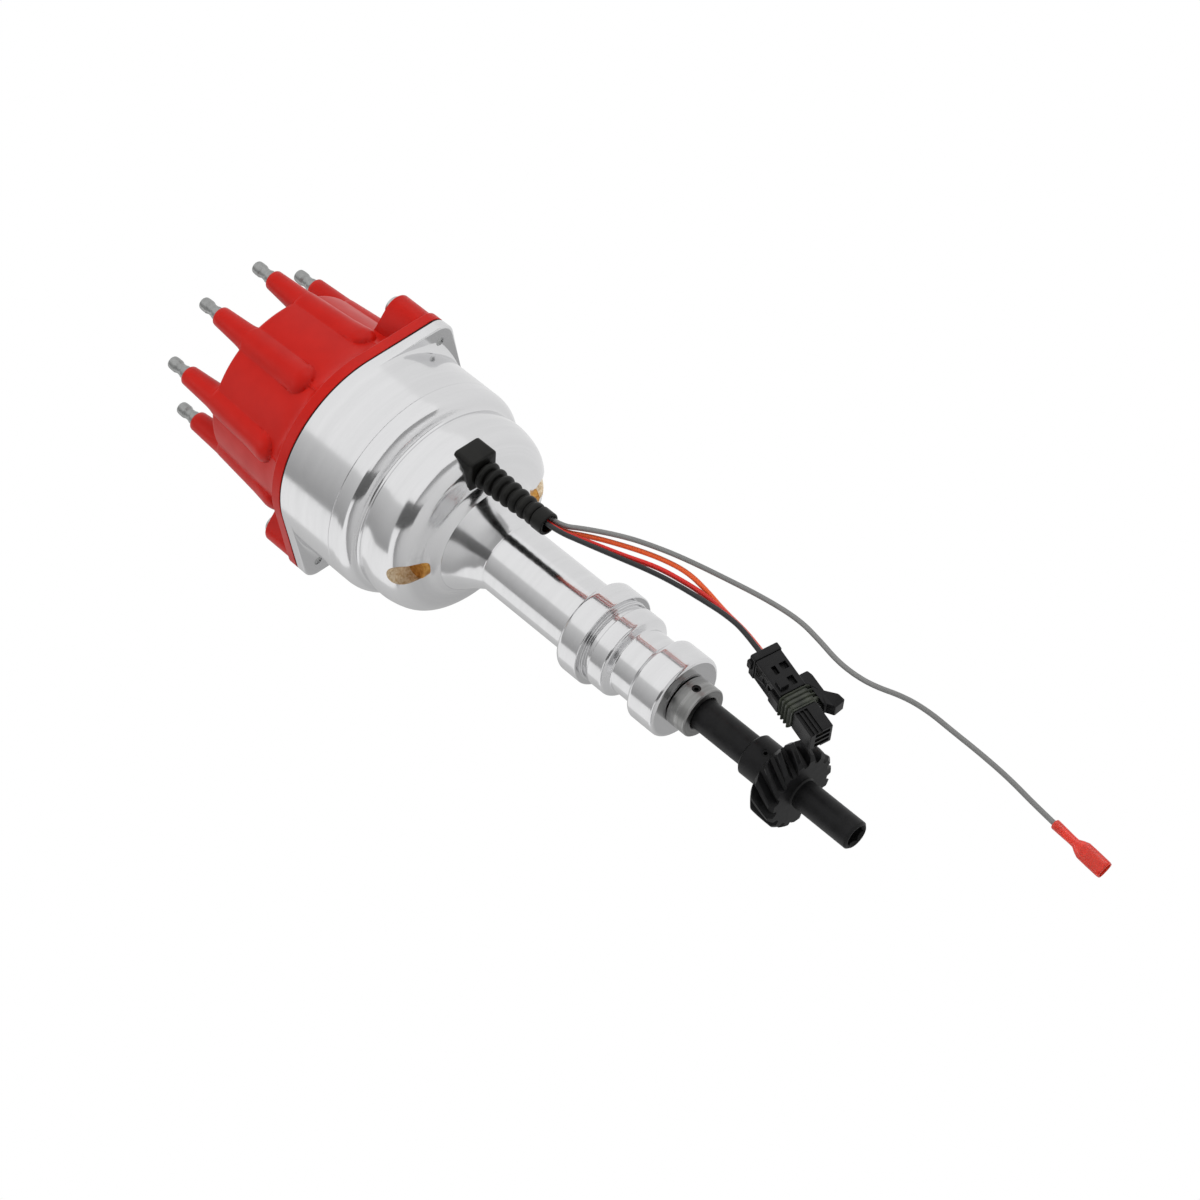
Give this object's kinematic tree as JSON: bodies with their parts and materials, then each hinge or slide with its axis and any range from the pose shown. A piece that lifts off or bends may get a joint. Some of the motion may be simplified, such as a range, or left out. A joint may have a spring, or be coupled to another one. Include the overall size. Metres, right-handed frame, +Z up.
{
  "type": "ignition distributor",
  "caption": "Billet aluminium ignition distributor with a red male-terminal cap, mechanical advance, a helical drive gear on its shaft and a short wired harness",
  "frame": {"origin": "on the shaft axis, at the underside of the mounting collar, where the pilot begins", "axes": "+Z runs up the shaft to the cap, +X through one ear of the cap, +Y completes a right-handed frame"},
  "size_m": [0.1214, 0.0966, 0.4506],
  "materials": {
    "cap_plastic": "moulded, satin",
    "billet_aluminium": "turned and polished",
    "terminal_metal": "cast, matt",
    "screw_steel": "zinc plated",
    "bearing_steel": "ground",
    "sintered_brass": "sintered",
    "black_rubber": "moulded",
    "seal_rubber": "moulded silicone",
    "black_plastic": "moulded",
    "black_steel": "black oxide",
    "collar_steel": "turned",
    "magnet": "bonded ferrite",
    "coil_plastic": "moulded over the winding",
    "rotor_plastic": "moulded",
    "carbon": "pressed carbon",
    "grey_lead": "extruded",
    "orange_lead": "extruded",
    "red_lead": "extruded",
    "black_lead": "extruded",
    "red_sleeve": "translucent vinyl",
    "tinned_brass": "tinned"
  },
  "bodies": {
    "housing": {"distributor_cap": "cap_plastic", "spark_terminals": "terminal_metal", "coil_terminal": "terminal_metal", "button_spring": "screw_steel", "cap_screw_1": "screw_steel", "cap_screw_2": "screw_steel", "cap_adapter_ring": "billet_aluminium", "adapter_screws": "screw_steel", "cap_seal": "black_rubber", "bowl_housing": "billet_aluminium", "neck_housing": "billet_aluminium", "vent_screen_1": "sintered_brass", "vent_screen_2": "sintered_brass", "wire_boot": "black_rubber", "ignition_module": "black_plastic", "pickup_plate": "screw_steel", "pickup_magnet": "magnet", "pickup_coil": "coil_plastic", "pole_piece": "screw_steel", "bearing_outer_race": "bearing_steel", "bearing_retainer": "black_steel", "lower_bushing": "sintered_brass", "lead_grey": "grey_lead", "lead_orange": "orange_lead", "lead_red": "red_lead", "lead_black": "black_lead", "connector_body": "black_plastic", "connector_seal": "seal_rubber", "connector_lock": "black_plastic", "connector_terminals": "tinned_brass", "spade_sleeve": "red_sleeve", "spade_terminal": "tinned_brass"},
    "shaft": {"drive_shaft": "black_steel", "bearing_inner_race": "bearing_steel", "bearing_balls": "bearing_steel", "thrust_washer": "screw_steel", "set_collar": "collar_steel", "collar_set_screw": "black_steel", "drive_gear": "black_steel", "gear_roll_pin": "black_steel", "centre_cam": "screw_steel", "retaining_clip": "black_steel"},
    "trigger": {"trigger_sleeve": "screw_steel", "reluctor": "screw_steel", "advance_spring_1": "screw_steel", "advance_spring_2": "screw_steel", "rotor": "rotor_plastic", "rotor_blade": "tinned_brass", "rotor_screws": "screw_steel"},
    "weight_1": {"advance_weight_1": "screw_steel"},
    "weight_2": {"advance_weight_2": "screw_steel"},
    "button": {"carbon_button": "carbon"}
  },
  "joints": [
    {"name": "shaft_spin", "type": "hinge", "parent": "housing", "child": "shaft", "pos_m": [0, 0, 0], "axis": [0, 0, 1], "continuous": true},
    {"name": "advance", "type": "hinge", "parent": "shaft", "child": "trigger", "pos_m": [0, 0, 0.1], "axis": [0, 0, 1], "range_deg": [0, 10.5], "stiffness_Nm_per_rad": 0.6, "deforming": ["advance_spring_1", "advance_spring_2"]},
    {"name": "weight_1_swing", "type": "hinge", "parent": "trigger", "child": "weight_1", "pos_m": [0, 0.022, 0.111], "axis": [0, 0, 1], "range_deg": [0, 18]},
    {"name": "weight_2_swing", "type": "hinge", "parent": "trigger", "child": "weight_2", "pos_m": [0, -0.022, 0.111], "axis": [0, 0, 1], "range_deg": [0, 18]},
    {"name": "button_slide", "type": "slide", "parent": "housing", "child": "button", "axis": [0, 0, 1], "range_m": [0, 0.0015], "stiffness_N_per_m": 400, "springref_m": -0.002, "deforming": ["button_spring"]}
  ],
  "couplings": [
    {"joint": "weight_1_swing", "follows": "advance", "ratio": 1.7},
    {"joint": "weight_2_swing", "follows": "advance", "ratio": 1.7}
  ]
}
